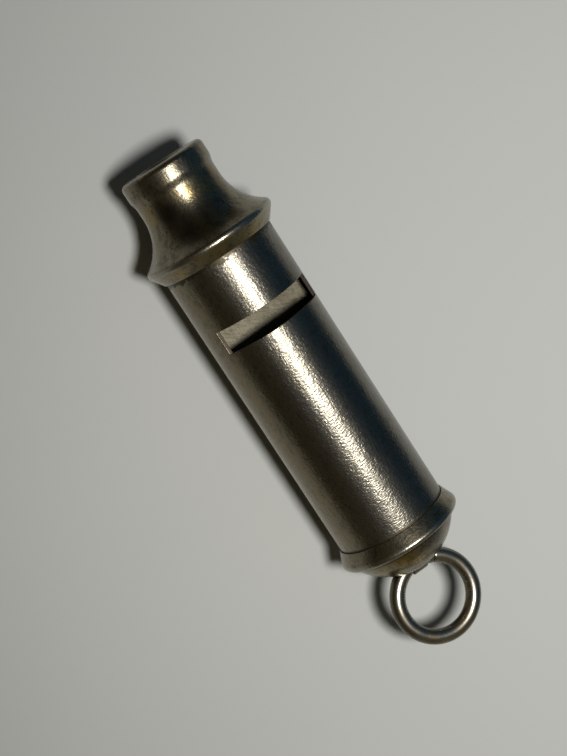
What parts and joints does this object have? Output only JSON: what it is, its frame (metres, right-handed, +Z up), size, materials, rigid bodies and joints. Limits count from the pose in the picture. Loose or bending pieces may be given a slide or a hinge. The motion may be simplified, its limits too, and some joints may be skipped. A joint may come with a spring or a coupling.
{
  "type": "tubular whistle",
  "caption": "Tubular metal air whistle with a flared mouthpiece, opposite sound windows, a divided barrel, a domed end cap and a swinging carrying ring.",
  "frame": {"origin": "under the middle of the whistle as it lies on its side, on the surface it lies on", "axes": "+X along the barrel from the mouthpiece to the ring, +Z up through the upper window, +Y across"},
  "size_m": [0.084, 0.0208, 0.0209],
  "materials": {
    "nickel": "worn nickel plate on brass, finely scratched",
    "tarnished_nickel": "nickel plate with brown and yellow tarnish",
    "inner_plate": "dull plated sheet",
    "bare_brass": "dull brass"
  },
  "bodies": {
    "whistle_body": {"mouthpiece": "tarnished_nickel", "barrel": "nickel", "partition": "inner_plate", "windway_block_upper": "bare_brass", "windway_block_lower": "bare_brass", "chamber_stop": "bare_brass", "end_plate": "bare_brass", "end_cap": "tarnished_nickel", "ring_strap": "nickel"},
    "carrying_ring": {"ring": "nickel"}
  },
  "joints": [
    {"name": "ring_swing", "type": "hinge", "parent": "whistle_body", "child": "carrying_ring", "pos_m": [0.02844, -0.00039, 0.01045], "axis": [0.0436, 0.999, 0], "range_deg": [-42.5, 47.5]}
  ]
}
